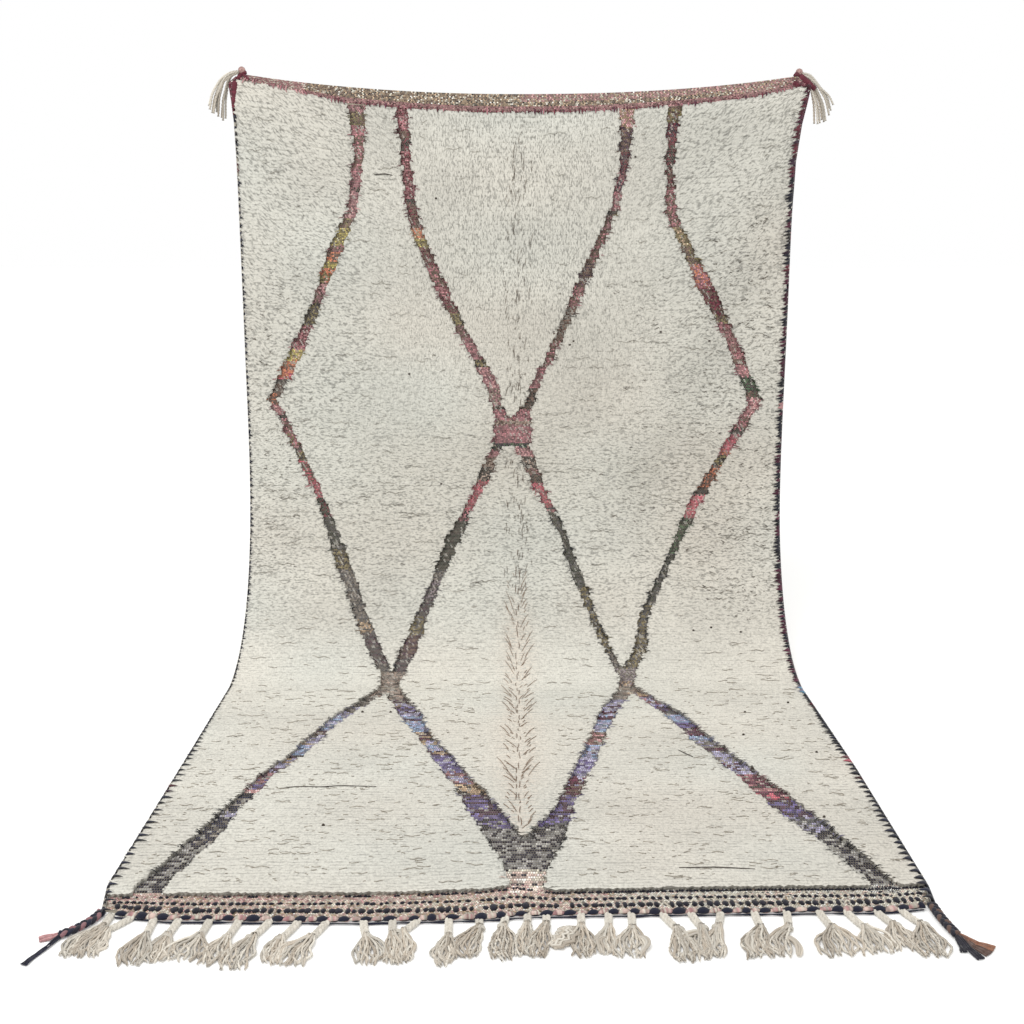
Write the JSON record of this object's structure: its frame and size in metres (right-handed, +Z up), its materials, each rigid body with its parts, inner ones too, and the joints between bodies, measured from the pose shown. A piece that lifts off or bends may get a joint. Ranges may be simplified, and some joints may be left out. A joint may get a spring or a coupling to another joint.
{
  "type": "azilal rug",
  "caption": "Hand-knotted wool rug with a flat-woven diamond lattice and braided fringe, hung by its top corners and run out over the floor.",
  "frame": {"origin": "middle of the top edge, on the back of the cloth", "axes": "+Z up, -Y out of the pile towards the viewer and along the laid stretch, +X to the viewer's right"},
  "size_m": [1.6554, 1.6261, 1.6054],
  "materials": {
    "pile": "undyed cream wool pile",
    "weave": "flat weave of mixed dyed wool",
    "overcast": "overcast dark wool",
    "warp": "plaited undyed warp ends",
    "corner_wool": "wrapped dark wool",
    "tassel": "twisted wool cords"
  },
  "bodies": {
    "root": {"rug_body": "pile", "selvedge_left": "overcast", "selvedge_right": "overcast", "bottom_fringe": "warp", "corner_braid_left": "corner_wool", "corner_braid_right": "corner_wool", "tassel_top_left": "tassel", "tassel_top_right": "tassel"}
  },
  "joints": []
}
